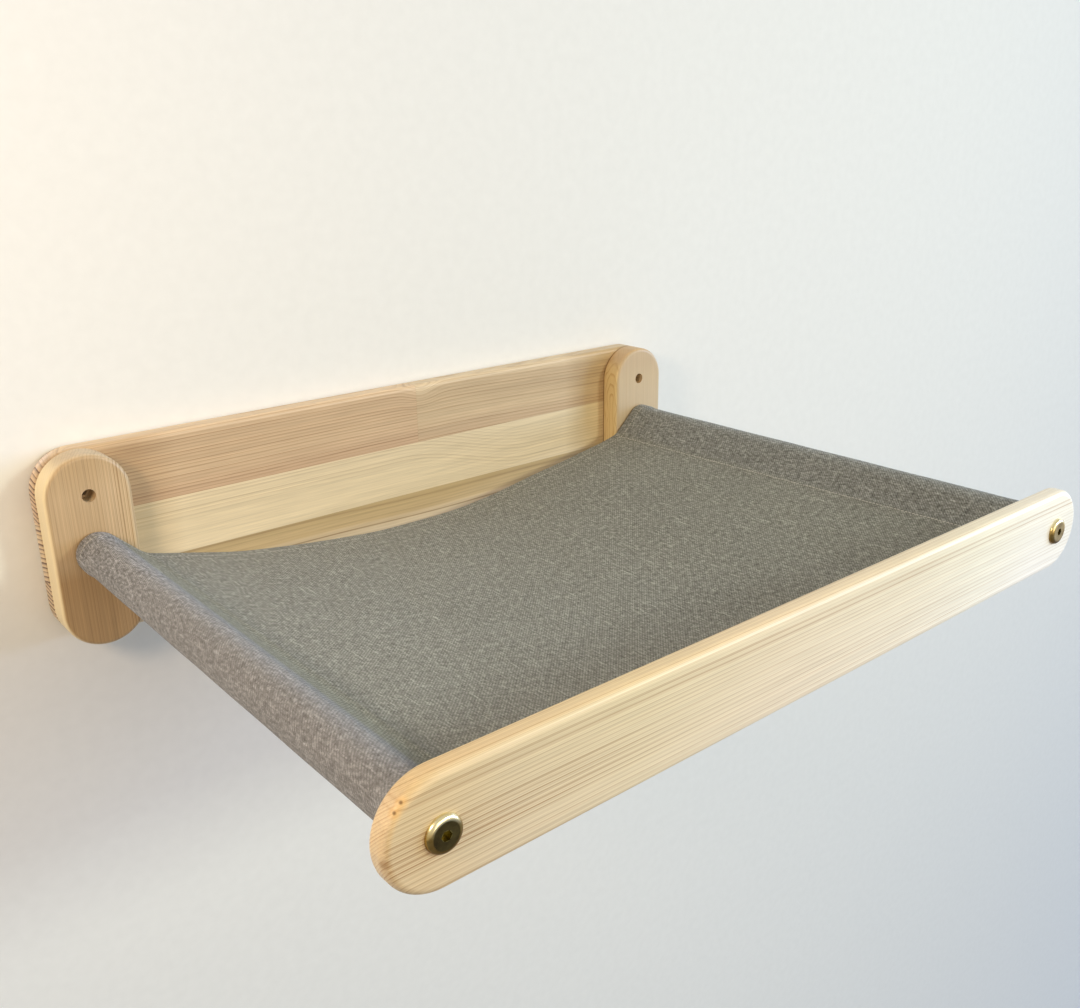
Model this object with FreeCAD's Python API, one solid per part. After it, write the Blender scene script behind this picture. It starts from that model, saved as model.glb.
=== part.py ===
"""Cat wall hammock: a pine board and two uprights on the wall, two rods, a front rail and a cloth sling.

The origin lies on the wall, midway between the two rods, at the height of their axes.
X runs along the wall, the room is towards -Y, and Z is up.
"""
import FreeCAD, Part
import math
import os

# Driving sizes of the whole, in millimetres
ROD_SPACING = 560.0
ROD_REACH = 430.0
ROD_DIAMETER = 28.0
HAMMOCK_SAG = 44.0

# Back board, glued from three staves
BOARD_HEIGHT = 150.0
BOARD_THICKNESS = 18.0
BOARD_EDGE_RADIUS = 4.0
TOP_STAVE_HEIGHT = 53.0
BOTTOM_STAVE_HEIGHT = 50.5

# Uprights, as tall as the board and flush with its ends
UPRIGHT_WIDTH = 63.0
UPRIGHT_THICKNESS = 20.0
UPRIGHT_EDGE_RADIUS = 3.5
UPRIGHT_SOCKET_DEPTH = 10.0

# Front rail, with round ends about the rod axes
RAIL_HEIGHT = 62.0
RAIL_THICKNESS = 14.0
RAIL_EDGE_RADIUS = 4.5
RAIL_SOCKET_DEPTH = 5.0

# Holes for the wall screws, one in each upright
WALL_HOLE_TOP_DISTANCE = 31.0
WALL_HOLE_DIAMETER = 6.0
WALL_HEAD_DIAMETER = 10.0
WALL_HEAD_DEPTH = 14.0

# Connector bolts and the threaded inserts that they screw into
BOLT_DIAMETER = 8.0
BOLT_HEAD_DIAMETER = 20.0
BOLT_HEAD_THICKNESS = 3.0
BOLT_HEAD_SHOULDER = 2.6
BOLT_KEY_SIZE = 5.0
BOLT_KEY_DEPTH = 3.5
BOLT_TIP_BEVEL = 1.0
INSERT_DIAMETER = 12.0
INSERT_LENGTH = 20.0
INSERT_SPARE_LENGTH = 2.0
REAR_HEAD_RECESS = 6.0

# Countersunk screws that hold the uprights to the board
SCREW_DIAMETER = 4.5
SCREW_LENGTH = 33.0
SCREW_HEAD_DIAMETER = 9.0
SCREW_HEAD_HEIGHT = 2.5
SCREW_TIP_LENGTH = 4.0
SCREW_RECESS = 0.5
SCREW_CROSS_LENGTH = 5.0
SCREW_CROSS_WIDTH = 1.0
SCREW_CROSS_DEPTH = 2.0
SCREW_EDGE_DISTANCE = 13.0

# Cloth sling
CLOTH_THICKNESS = 1.2
SEAM_DISTANCE = 34.5
SLING_END_GAP = 1.5

# Clearances and tolerances
CLOTH_CLEARANCE = 0.3
GLUE_CLEARANCE = 0.05
THREAD_CLEARANCE = 0.1
BOLT_CLEARANCE = 0.3
HEAD_CLEARANCE = 0.5
RAIL_CLEARANCE = 0.2
CUT_OVERRUN = 1.0
SAME_PLACE = 0.001

# Places worked out from the sizes above, as distances from the wall
UPRIGHT_FRONT = BOARD_THICKNESS + UPRIGHT_THICKNESS
ROD_START = UPRIGHT_FRONT - UPRIGHT_SOCKET_DEPTH
RAIL_BACK = UPRIGHT_FRONT + ROD_REACH
ROD_END = RAIL_BACK + RAIL_SOCKET_DEPTH
RAIL_FRONT = RAIL_BACK + RAIL_THICKNESS

OUTWARD = FreeCAD.Vector(0, -1, 0)
SIDES = {"left": -1, "right": 1}


def place(x, depth, z):
    """A point given by its distance from the wall."""
    return FreeCAD.Vector(x, -depth, z)


def cylinder(x, z, radius, start, end):
    """A cylinder square to the wall, from one distance from it to another."""
    return Part.makeCylinder(radius, end - start, place(x, start, z), OUTWARD)


def rounded_outline(x, z, width, height, radius, depth):
    """A closed outline with quarter-circle corners, in a plane parallel to the wall."""
    inset_x = width / 2 - radius
    inset_z = height / 2 - radius
    corners = [(1, 1, 0), (-1, 1, 90), (-1, -1, 180), (1, -1, 270)]
    edges = []
    last = None
    for side_x, side_z, start_angle in corners:
        centre_x = x + side_x * inset_x
        centre_z = z + side_z * inset_z
        points = []
        for angle in (start_angle, start_angle + 45, start_angle + 90):
            turn = math.radians(angle)
            points.append(place(centre_x + radius * math.cos(turn), depth, centre_z + radius * math.sin(turn)))
        if last is None:
            first = points[0]
        elif last.distanceToPoint(points[0]) > SAME_PLACE:
            edges.append(Part.makeLine(last, points[0]))
        edges.append(Part.Arc(*points).toShape())
        last = points[-1]
    if last.distanceToPoint(first) > SAME_PLACE:
        edges.append(Part.makeLine(last, first))
    return Part.Wire(edges)


def plate(x, z, width, height, radius, start, end):
    """A flat plate with rounded corners, between two distances from the wall."""
    outline = rounded_outline(x, z, width, height, radius, start)
    return Part.Face(outline).extrude(OUTWARD * (end - start))


def edges_at(solid, depth):
    """The edges of a solid that lie in one plane parallel to the wall."""
    found = []
    for edge in solid.Edges:
        if all(abs(vertex.Y + depth) < SAME_PLACE for vertex in edge.Vertexes):
            found.append(edge)
    return found


def cut_all(solid, cutters):
    """A solid with each cutter taken out of it."""
    for cutter in cutters:
        solid = solid.cut(cutter)
    return solid


def revolved(x, z, start, direction, profile):
    """A solid turned about an axis square to the wall.

    The profile lists radius and distance along the axis, from the start towards the direction.
    """
    points = [place(x + radius, start + direction * along, z) for radius, along in profile]
    points.append(points[0])
    face = Part.Face(Part.makePolygon(points))
    return face.revolve(place(x, start, z), OUTWARD, 360)


def board_blank():
    """The whole back board, before it is divided into staves."""
    width = ROD_SPACING + UPRIGHT_WIDTH
    blank = plate(0, 0, width, BOARD_HEIGHT, UPRIGHT_WIDTH / 2, 0, BOARD_THICKNESS)
    edges = edges_at(blank, 0) + edges_at(blank, BOARD_THICKNESS)
    return blank.makeFillet(BOARD_EDGE_RADIUS, edges)


def stave(blank, low, high):
    """The stretch of the board between two heights."""
    width = ROD_SPACING + UPRIGHT_WIDTH + CUT_OVERRUN
    corner = place(-width / 2, BOARD_THICKNESS + CUT_OVERRUN, low)
    slab = Part.makeBox(width, BOARD_THICKNESS + CUT_OVERRUN * 2, high - low, corner)
    return blank.common(slab)


def upright(side):
    """One upright: a round-ended block with its front edge rounded over."""
    x = side * ROD_SPACING / 2
    block = plate(x, 0, UPRIGHT_WIDTH, BOARD_HEIGHT, UPRIGHT_WIDTH / 2, BOARD_THICKNESS, UPRIGHT_FRONT)
    block = block.makeFillet(UPRIGHT_EDGE_RADIUS, edges_at(block, UPRIGHT_FRONT))
    socket_radius = ROD_DIAMETER / 2 + GLUE_CLEARANCE
    return block.cut(cylinder(x, 0, socket_radius, ROD_START, UPRIGHT_FRONT + CUT_OVERRUN))


def wall_hole(side):
    """The hole for a wall screw: narrow through the board, wide for the screw's head."""
    x = side * ROD_SPACING / 2
    z = BOARD_HEIGHT / 2 - WALL_HOLE_TOP_DISTANCE
    narrow = cylinder(x, z, WALL_HOLE_DIAMETER / 2, -CUT_OVERRUN, UPRIGHT_FRONT)
    seat = UPRIGHT_FRONT - WALL_HEAD_DEPTH
    wide = cylinder(x, z, WALL_HEAD_DIAMETER / 2, seat, UPRIGHT_FRONT + CUT_OVERRUN)
    return narrow.fuse(wide)


def rear_bolt_hole(side):
    """The recess for the rear bolt's head and the hole for its shank."""
    x = side * ROD_SPACING / 2
    recess_radius = BOLT_HEAD_DIAMETER / 2 + HEAD_CLEARANCE
    recess = cylinder(x, 0, recess_radius, -CUT_OVERRUN, REAR_HEAD_RECESS)
    return recess.fuse(cylinder(x, 0, BOLT_DIAMETER / 2 + BOLT_CLEARANCE, 0, UPRIGHT_FRONT))


def rod(side):
    """One rod, bored at both ends for its inserts."""
    x = side * ROD_SPACING / 2
    bar = cylinder(x, 0, ROD_DIAMETER / 2, ROD_START, ROD_END)
    bore_radius = INSERT_DIAMETER / 2 + GLUE_CLEARANCE
    rear_bore = cylinder(x, 0, bore_radius, ROD_START - CUT_OVERRUN, ROD_START + INSERT_LENGTH)
    front_bore = cylinder(x, 0, bore_radius, ROD_END - INSERT_LENGTH, ROD_END + CUT_OVERRUN)
    return cut_all(bar, [rear_bore, front_bore])


def insert(side, start):
    """A threaded insert, as a plain tube from the given distance from the wall."""
    x = side * ROD_SPACING / 2
    end = start + INSERT_LENGTH
    tube = cylinder(x, 0, INSERT_DIAMETER / 2, start, end)
    thread = cylinder(x, 0, BOLT_DIAMETER / 2 + THREAD_CLEARANCE, start - CUT_OVERRUN, end + CUT_OVERRUN)
    return tube.cut(thread)


def front_rail():
    """The rail across the rods' ends, with a shallow socket and a bolt hole for each."""
    width = ROD_SPACING + RAIL_HEIGHT
    bar = plate(0, 0, width, RAIL_HEIGHT, RAIL_HEIGHT / 2, RAIL_BACK, RAIL_FRONT)
    bar = bar.makeFillet(RAIL_EDGE_RADIUS, edges_at(bar, RAIL_BACK) + edges_at(bar, RAIL_FRONT))
    cutters = []
    for side in SIDES.values():
        x = side * ROD_SPACING / 2
        cutters.append(cylinder(x, 0, ROD_DIAMETER / 2 + RAIL_CLEARANCE, RAIL_BACK - CUT_OVERRUN, ROD_END))
        cutters.append(cylinder(x, 0, BOLT_DIAMETER / 2 + BOLT_CLEARANCE, RAIL_BACK, RAIL_FRONT + CUT_OVERRUN))
    return cut_all(bar, cutters)


def hexagon_key(x, start, direction, size, depth):
    """The hexagonal pocket that a key turns, measured across its flats."""
    corner_radius = size / 2 / math.cos(math.radians(30))
    points = []
    for index in range(7):
        turn = math.radians(60 * index)
        points.append(place(x + corner_radius * math.cos(turn), start, corner_radius * math.sin(turn)))
    return Part.Face(Part.makePolygon(points)).extrude(OUTWARD * (direction * depth))


def bolt(side, seat, direction, shank_length):
    """A connector bolt: its round-shouldered head sits on a plane and its shank points along the direction."""
    x = side * ROD_SPACING / 2
    head_radius = BOLT_HEAD_DIAMETER / 2
    shank_radius = BOLT_DIAMETER / 2
    profile = [
        (0, -BOLT_HEAD_THICKNESS),
        (head_radius, -BOLT_HEAD_THICKNESS),
        (head_radius, 0),
        (shank_radius, 0),
        (shank_radius, shank_length - BOLT_TIP_BEVEL),
        (shank_radius - BOLT_TIP_BEVEL, shank_length),
        (0, shank_length),
    ]
    body = revolved(x, 0, seat, direction, profile)
    top = seat - direction * BOLT_HEAD_THICKNESS
    rims = [edge for edge in edges_at(body, top) if edge.isClosed()]
    body = body.makeFillet(BOLT_HEAD_SHOULDER, rims)
    return body.cut(hexagon_key(x, top, direction, BOLT_KEY_SIZE, BOLT_KEY_DEPTH))


def front_bolt(side):
    """The visible bolt, through the rail into the rod's front insert."""
    shank_length = RAIL_FRONT - ROD_END + INSERT_LENGTH - INSERT_SPARE_LENGTH
    return bolt(side, RAIL_FRONT, -1, shank_length)


def rear_bolt(side):
    """The hidden bolt, through the board and the upright into the rod's rear insert."""
    shank_length = ROD_START - REAR_HEAD_RECESS + INSERT_LENGTH - INSERT_SPARE_LENGTH
    return bolt(side, REAR_HEAD_RECESS, 1, shank_length)


def screw_height(level):
    """The height of the upper or the lower screw."""
    return level * (BOARD_HEIGHT / 2 - SCREW_EDGE_DISTANCE)


def screw_shape(side, level, clearance):
    """The outside of a countersunk screw, grown by a clearance when it is used as a cutter."""
    head_radius = SCREW_HEAD_DIAMETER / 2 + clearance
    shank_radius = SCREW_DIAMETER / 2 + clearance
    profile = [
        (0, 0),
        (head_radius, 0),
        (shank_radius, SCREW_HEAD_HEIGHT),
        (shank_radius, SCREW_LENGTH - SCREW_TIP_LENGTH),
        (0, SCREW_LENGTH + clearance),
    ]
    return revolved(side * ROD_SPACING / 2, screw_height(level), SCREW_RECESS, 1, profile)


def screw_hole(side, level):
    """The hole that a screw leaves in the board and the upright."""
    head_radius = SCREW_HEAD_DIAMETER / 2 + GLUE_CLEARANCE
    x = side * ROD_SPACING / 2
    mouth = cylinder(x, screw_height(level), head_radius, -CUT_OVERRUN, SCREW_RECESS)
    return mouth.fuse(screw_shape(side, level, GLUE_CLEARANCE))


def screw(side, level):
    """One countersunk wood screw with a cross recess."""
    x = side * ROD_SPACING / 2
    z = screw_height(level)
    body = screw_shape(side, level, 0)
    for length, height in ((SCREW_CROSS_LENGTH, SCREW_CROSS_WIDTH), (SCREW_CROSS_WIDTH, SCREW_CROSS_LENGTH)):
        corner = place(x - length / 2, SCREW_RECESS + SCREW_CROSS_DEPTH, z - height / 2)
        body = body.cut(Part.makeBox(length, SCREW_CROSS_DEPTH + CUT_OVERRUN, height, corner))
    return body


def sling_curve():
    """The radius of the sagging panel's middle layer, and the height of its centre.

    Seen from the front, the panel is one arc. A straight line from each rod's axis meets it at the seam,
    where it is tangent, because that is how the pull of the cloth lines up with the rod.
    """
    half_spacing = ROD_SPACING / 2
    radius = (half_spacing ** 2 + HAMMOCK_SAG ** 2 - SEAM_DISTANCE ** 2) / (2 * HAMMOCK_SAG)
    return radius, radius - HAMMOCK_SAG


def seam_angle():
    """The angle below level at which the cloth leaves a rod towards its seam."""
    radius, centre_height = sling_curve()
    return math.atan2(ROD_SPACING / 2, centre_height) - math.atan2(SEAM_DISTANCE, radius)


def arc_point(radius, centre_height, angle, depth):
    """A point on an arc about the sling's centre, at an angle from straight down."""
    return place(radius * math.sin(angle), depth, centre_height - radius * math.cos(angle))


def panel(start, end):
    """The sagging panel between the two seams."""
    radius, centre_height = sling_curve()
    angle = seam_angle()
    low = radius + CLOTH_THICKNESS / 2
    high = radius - CLOTH_THICKNESS / 2
    under = [arc_point(low, centre_height, turn, start) for turn in (-angle, 0, angle)]
    above = [arc_point(high, centre_height, turn, start) for turn in (angle, 0, -angle)]
    edges = [
        Part.Arc(*under).toShape(),
        Part.makeLine(under[2], above[0]),
        Part.Arc(*above).toShape(),
        Part.makeLine(above[2], under[0]),
    ]
    return Part.Face(Part.Wire(edges)).extrude(OUTWARD * (end - start))


def teardrop(side, radius, start, end):
    """A prism round a rod, drawn in to a point at the seam: two arcs and two straight sides."""
    x = side * ROD_SPACING / 2
    middle_radius = ROD_DIAMETER / 2 + CLOTH_CLEARANCE + CLOTH_THICKNESS / 2
    half_tip = math.asin(middle_radius / SEAM_DISTANCE)
    tip_distance = radius / math.sin(half_tip)
    slope = seam_angle()

    def around(distance, angle):
        """A point at an angle from the direction that leads from the rod to its seam."""
        turn = slope + angle
        return place(x - side * distance * math.cos(turn), start, -distance * math.sin(turn))

    tip = around(tip_distance, 0)
    quarter = math.pi / 2
    lower_touch = quarter - half_tip
    lower = around(radius, lower_touch)
    upper = around(radius, -lower_touch)
    outer = around(radius, math.pi)
    between = (math.pi + lower_touch) / 2
    edges = [
        Part.makeLine(tip, lower),
        Part.Arc(lower, around(radius, between), outer).toShape(),
        Part.Arc(outer, around(radius, -between), upper).toShape(),
        Part.makeLine(upper, tip),
    ]
    return Part.Face(Part.Wire(edges)).extrude(OUTWARD * (end - start))


def sling():
    """The cloth: one panel, with a sleeve round each rod."""
    start = UPRIGHT_FRONT + SLING_END_GAP
    end = RAIL_BACK - SLING_END_GAP
    inner_radius = ROD_DIAMETER / 2 + CLOTH_CLEARANCE
    cloth = panel(start, end)
    for side in SIDES.values():
        cloth = cloth.fuse(teardrop(side, inner_radius + CLOTH_THICKNESS, start, end))
    for side in SIDES.values():
        cloth = cloth.cut(teardrop(side, inner_radius, start - CUT_OVERRUN, end + CUT_OVERRUN))
    return cloth


def build():
    """Every piece of the hammock, by name."""
    parts = {}
    board_holes = []
    for side in SIDES.values():
        board_holes.append(wall_hole(side))
        board_holes.append(rear_bolt_hole(side))
        board_holes.append(screw_hole(side, 1))
        board_holes.append(screw_hole(side, -1))

    blank = board_blank()
    top = BOARD_HEIGHT / 2
    upper_joint = top - TOP_STAVE_HEIGHT
    lower_joint = BOTTOM_STAVE_HEIGHT - top
    parts["top_stave"] = cut_all(stave(blank, upper_joint, top), board_holes)
    parts["middle_stave"] = cut_all(stave(blank, lower_joint, upper_joint), board_holes)
    parts["bottom_stave"] = cut_all(stave(blank, -top, lower_joint), board_holes)

    for name, side in SIDES.items():
        parts[name + "_upright"] = cut_all(upright(side), board_holes)
        parts[name + "_rod"] = rod(side)
        parts[name + "_rear_insert"] = insert(side, ROD_START)
        parts[name + "_front_insert"] = insert(side, ROD_END - INSERT_LENGTH)
        parts[name + "_rear_bolt"] = rear_bolt(side)
        parts[name + "_front_bolt"] = front_bolt(side)
        parts[name + "_upper_screw"] = screw(side, 1)
        parts[name + "_lower_screw"] = screw(side, -1)

    parts["front_rail"] = front_rail()
    parts["fabric_sling"] = sling()
    return parts


os.makedirs("parts", exist_ok=True)
for node, shape in build().items():
    solid = shape.Solids[0]
    print(node, len(shape.Solids), "solid,", "valid" if shape.isValid() else "not valid", round(shape.Volume), "mm3")
    solid.exportStep(os.path.join("parts", node + ".step"))
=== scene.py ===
# %% [markdown]
# # A cat hammock on the wall
#
# A pine board is screwed to the wall and carries two round-ended uprights. A round rod stands out of
# each upright, a flat rail is bolted across the rods' ends, and a grey woven cloth hangs between the
# rods from a sleeve along each side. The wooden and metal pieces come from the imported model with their
# true shapes, so the work here is their finish, the cloth and its sewing, the light and the camera.

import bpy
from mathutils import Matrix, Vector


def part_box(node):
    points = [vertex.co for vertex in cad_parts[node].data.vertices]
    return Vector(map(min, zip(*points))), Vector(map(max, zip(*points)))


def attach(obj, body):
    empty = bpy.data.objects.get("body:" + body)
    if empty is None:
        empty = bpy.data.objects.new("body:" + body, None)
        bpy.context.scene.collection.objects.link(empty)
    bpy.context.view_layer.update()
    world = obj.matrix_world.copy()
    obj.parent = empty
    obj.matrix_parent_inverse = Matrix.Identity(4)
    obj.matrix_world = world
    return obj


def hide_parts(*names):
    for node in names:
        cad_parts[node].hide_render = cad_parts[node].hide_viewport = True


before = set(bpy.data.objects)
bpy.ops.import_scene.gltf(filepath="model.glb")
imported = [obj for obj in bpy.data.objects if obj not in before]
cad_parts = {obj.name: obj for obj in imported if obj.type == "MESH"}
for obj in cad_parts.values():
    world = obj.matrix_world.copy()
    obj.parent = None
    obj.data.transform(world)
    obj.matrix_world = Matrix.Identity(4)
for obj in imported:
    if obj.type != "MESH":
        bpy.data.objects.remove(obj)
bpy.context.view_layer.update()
print("pieces from the packed model:", len(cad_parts))

# %% [markdown]
# Python's own maths and numpy do the shape work. Every length below is in metres: X runs along the
# wall, Z is up, and the wall is the plane where Y is 0, with the room on the negative side.

# %% Tools and shared sizes
import math

import bpy
import numpy as np
from mathutils import Matrix, Vector

MM = 0.001
rod_low, rod_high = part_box("right_rod")
ROD_X = (rod_low.x + rod_high.x) / 2
ROD_RADIUS = (rod_high.x - rod_low.x) / 2
sling_low, sling_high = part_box("fabric_sling")
BACK_EDGE, FRONT_EDGE = sling_high.y, sling_low.y
print(f"rods {2 * ROD_X:.3f} apart, cloth {BACK_EDGE - FRONT_EDGE:.3f} deep")


# %% [markdown]
# ## The camera
#
# The camera stands at the left, a little above the hammock, and looks down along it. Its place, its
# turn and its lens were solved from the outlines of the board, the uprights and the rail, whose sizes
# are known. A rotation is written here as three unit vectors: to the right, up, and backwards.

# %% Place the camera
def camera_turn(yaw, pitch, roll):
    """Right, up and back of a camera that faces +Y, turned right by yaw, up by pitch, and then rolled."""
    yaw, pitch, roll = np.radians([yaw, pitch, roll])
    ahead = np.array([np.sin(yaw) * np.cos(pitch), np.cos(yaw) * np.cos(pitch), np.sin(pitch)])
    level = np.array([np.cos(yaw), -np.sin(yaw), 0.0])
    upward = np.cross(level, ahead)
    right = level * np.cos(roll) + upward * np.sin(roll)
    up = upward * np.cos(roll) - level * np.sin(roll)
    return right, up, -ahead


camera = bpy.data.objects.new("camera", bpy.data.cameras.new("camera"))
bpy.context.scene.collection.objects.link(camera)
bpy.context.scene.camera = camera
camera.data.sensor_width = 36
camera.data.lens = 35.966
camera.data.clip_start = 0.02
turn = Matrix(np.array(camera_turn(yaw=39.526, pitch=-19.333, roll=-0.867)).T.tolist())
camera.matrix_world = Matrix.Translation((-0.50017, -0.81923, 0.29308)) @ turn.to_4x4()
print("camera at", tuple(round(v, 3) for v in camera.location))


# %% [markdown]
# ## Building materials from sums
#
# A procedural material is a network of small nodes. Wiring it by hand hides the idea, so one class
# wraps an output and lets it be added, multiplied and compared like a number. Each such step adds a
# Math node. Everything that isn't plain arithmetic goes through one method that sets up a node.

# %% A socket that can be used in a sum
class Flow:
    """One number that varies over a surface. Arithmetic on it adds Math nodes to its material."""

    def __init__(self, finish, socket):
        self.finish = finish
        self.socket = socket

    def math(self, operation, *others):
        values = dict(enumerate((self,) + others))
        return self.finish.add("ShaderNodeMath", {"operation": operation}, values)

    def peak(self):
        """1 where the number is 0, and soon next to nothing at both sides."""
        return (-(self * self)).math("EXPONENT")

    def __add__(self, other):
        return self.math("ADD", other)

    def __sub__(self, other):
        return self.math("SUBTRACT", other)

    def __rsub__(self, other):
        return self.finish.add("ShaderNodeMath", {"operation": "SUBTRACT"}, {0: other, 1: self})

    def __mul__(self, other):
        return self.math("MULTIPLY", other)

    def __truediv__(self, other):
        return self.math("DIVIDE", other)

    def __lt__(self, other):
        return self.math("LESS_THAN", other)

    def __neg__(self):
        return self.math("MULTIPLY", -1.0)

    __radd__ = __add__
    __rmul__ = __mul__


# %% A material under construction
def paint(code):
    """Turns six hexadecimal digits of screen colour into the linear values that a shader uses."""
    screen = np.array([int(code[i:i + 2], 16) for i in (0, 2, 4)]) / 255
    linear = np.where(screen <= 0.04045, screen / 12.92, ((screen + 0.055) / 1.055) ** 2.4)
    return (*linear.tolist(), 1.0)


class Finish:
    """A material with one main shader, and the ways of adding nodes to it."""

    def __init__(self, name, **constants):
        self.material = bpy.data.materials.new(name)
        self.material.use_nodes = True
        self.nodes = self.material.node_tree.nodes
        self.links = self.material.node_tree.links
        self.shader = self.nodes["Principled BSDF"]
        for socket, value in constants.items():
            self.shader.inputs[socket.replace("_", " ")].default_value = value

    def add(self, kind, settings=None, inputs=None, output=0):
        """Adds a node, gives it its settings and then its inputs, and returns one of its outputs."""
        node = self.nodes.new(kind)
        for key, value in (settings or {}).items():
            if key == "stops":
                self.set_stops(node.color_ramp, value)
            else:
                setattr(node, key, value)
        for key, value in (inputs or {}).items():
            self.feed(node.inputs[key], value)
        return Flow(self, node.outputs[output])

    def feed(self, socket, value):
        if isinstance(value, Flow):
            self.links.new(value.socket, socket)
        else:
            socket.default_value = value

    def set_stops(self, ramp, stops):
        """Gives a colour ramp its list of positions and colours, where a number stands for a grey."""
        while len(ramp.elements) < len(stops):
            ramp.elements.new(1.0)
        for element, (position, colour) in zip(ramp.elements, stops):
            element.position = position
            element.color = (colour, colour, colour, 1) if isinstance(colour, (int, float)) else colour

    def drive(self, **inputs):
        """Feeds sockets of the main shader."""
        for key, value in inputs.items():
            self.feed(self.shader.inputs[key.replace("_", " ")], value)

    def vector(self, x, y, z):
        return self.add("ShaderNodeCombineXYZ", None, {0: x, 1: y, 2: z})

    def place(self):
        """The three object coordinates of the point that is shaded, in metres."""
        where = self.add("ShaderNodeTexCoord", None, None, "Object")
        return [self.add("ShaderNodeSeparateXYZ", None, {0: where}, axis) for axis in range(3)]

    def facing(self, axis):
        """How squarely the surface faces along one of the object's axes, from 0 to 1."""
        normal = self.add("ShaderNodeTexCoord", None, None, "Normal")
        return self.add("ShaderNodeSeparateXYZ", None, {0: normal}, axis).math("ABSOLUTE")

    def noise(self, where, scale=1.0, detail=2.0):
        """Soft noise round 0.5 at a place."""
        values = {"Vector": where, "Scale": scale, "Detail": detail}
        return self.add("ShaderNodeTexNoise", None, values, 0)

    def ease(self, value, low, high, to_low=0.0, to_high=1.0):
        """A smooth step of a value between two limits."""
        limits = {0: value, 1: low, 2: high, 3: to_low, 4: to_high}
        return self.add("ShaderNodeMapRange", {"interpolation_type": "SMOOTHSTEP"}, limits)

    def ramp(self, value, stops):
        return self.add("ShaderNodeValToRGB", {"stops": stops}, {0: value})

    def mix(self, share, first, second, way="MIX"):
        """One colour laid over another by a share."""
        colours = {0: share, 6: first, 7: second}
        return self.add("ShaderNodeMix", {"data_type": "RGBA", "blend_type": way}, colours, 2)

    def tinted(self, colour, tint, share=1.0):
        """A colour multiplied by a tint, by a share."""
        return self.mix(share, colour, tint, "MULTIPLY")

    def scaled(self, colour, by):
        """A colour made lighter or darker by a number that varies."""
        return self.add("ShaderNodeVectorMath", {"operation": "SCALE"}, {0: colour, "Scale": by})

    def bump(self, height, distance, strength=1.0):
        values = {"Height": height, "Distance": distance, "Strength": strength}
        return self.add("ShaderNodeBump", None, values)


def dress(finish, *names):
    """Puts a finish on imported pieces, by name."""
    for name in names:
        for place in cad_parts[name].material_slots:
            place.material = finish.material
        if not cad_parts[name].material_slots:
            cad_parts[name].data.materials.append(finish.material)
    print(finish.material.name, "on", ", ".join(names))


# %% [markdown]
# ## The wall and the light
#
# The hammock hangs on a plain white wall, well above a plain floor. Neither belongs to the object. Seen
# from behind, the wall would hide everything, so its back face lets the view through. Rays of a few
# millimetres pass it too, which lets light reach the board's back.

# %% Wall and floor
def flat_panel(name, corners):
    """A single four-sided face."""
    mesh = bpy.data.meshes.new(name)
    mesh.from_pydata(corners, [], [(0, 1, 2, 3)])
    panel = bpy.data.objects.new(name, mesh)
    bpy.context.scene.collection.objects.link(panel)
    return panel


WALL_Y = 0.3 * MM
FLOOR_Z = -1.95
SEE_THROUGH = 12 * MM
plaster = Finish("wall_paint", Roughness=0.9, Specular_IOR_Level=0.1)
x, _, z = plaster.place()
roller_marks = plaster.noise(plaster.vector(x * 90, 0.0, z * 90), detail=4)
plaster.drive(Base_Color=plaster.ramp(roller_marks, [(0.3, paint("EAEBE9")), (0.7, paint("EDEEEC"))]))
path_length = plaster.add("ShaderNodeLightPath", None, None, "Ray Length")
behind = plaster.add("ShaderNodeNewGeometry", None, None, "Backfacing")
open_to_view = behind.math("MAXIMUM", path_length < SEE_THROUGH)
clear = plaster.add("ShaderNodeBsdfTransparent")
painted = Flow(plaster, plaster.shader.outputs[0])
surface = plaster.add("ShaderNodeMixShader", None, {0: open_to_view, 1: painted, 2: clear})
plaster.links.new(surface.socket, plaster.nodes["Material Output"].inputs["Surface"])
wall = flat_panel("wall", [(-5, WALL_Y, FLOOR_Z), (5, WALL_Y, FLOOR_Z), (5, WALL_Y, 3), (-5, WALL_Y, 3)])
wall.data.materials.append(plaster.material)

ground = Finish("floor_paint", Roughness=0.7)
x, y, _ = ground.place()
drift = ground.noise(ground.vector(x, y, 0.0), 8)
ground.drive(Base_Color=ground.ramp(drift, [(0.3, paint("C0BDB8")), (0.7, paint("C6C3BE"))]))
floor = flat_panel("floor", [(-5, -6, FLOOR_Z), (5, -6, FLOOR_Z), (5, 5, FLOOR_Z), (-5, 5, FLOOR_Z)])
floor.data.materials.append(ground.material)
print("wall and floor stand ready")


# %% [markdown]
# Cool daylight comes from a tall, distant window at the right. It grazes the wall, so each upright
# shades a band at its left, and it glances off the rail's right end. A lamp at the front throws the
# sling's shadow down the wall, a wide one beside it softens that, and a small, warm one at the left casts
# a crisp shade to the right of each upright. Its cone is narrowed, to spare the wall right beside it. A
# warm, even sky fills the rest, and is seen brighter than it lights. Each lamp has its tint, but where
# they all meet, on the wall, they add up to white light at which a colour looks as written.

# %% Lamps and sky
def soft_lamp(name, place, target, size, power, colour):
    """A rectangular lamp at a place, turned towards a target. The size is its width and its height."""
    lamp = bpy.data.objects.new(name, bpy.data.lights.new(name, "AREA"))
    bpy.context.scene.collection.objects.link(lamp)
    lamp.data.shape = "RECTANGLE"
    lamp.data.size, lamp.data.size_y = size
    lamp.data.energy = power
    lamp.data.color = colour
    lamp.visible_camera = False
    aim = Vector(target) - Vector(place)
    lamp.matrix_world = Matrix.Translation(place) @ aim.to_track_quat("-Z", "Y").to_matrix().to_4x4()
    return lamp


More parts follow.
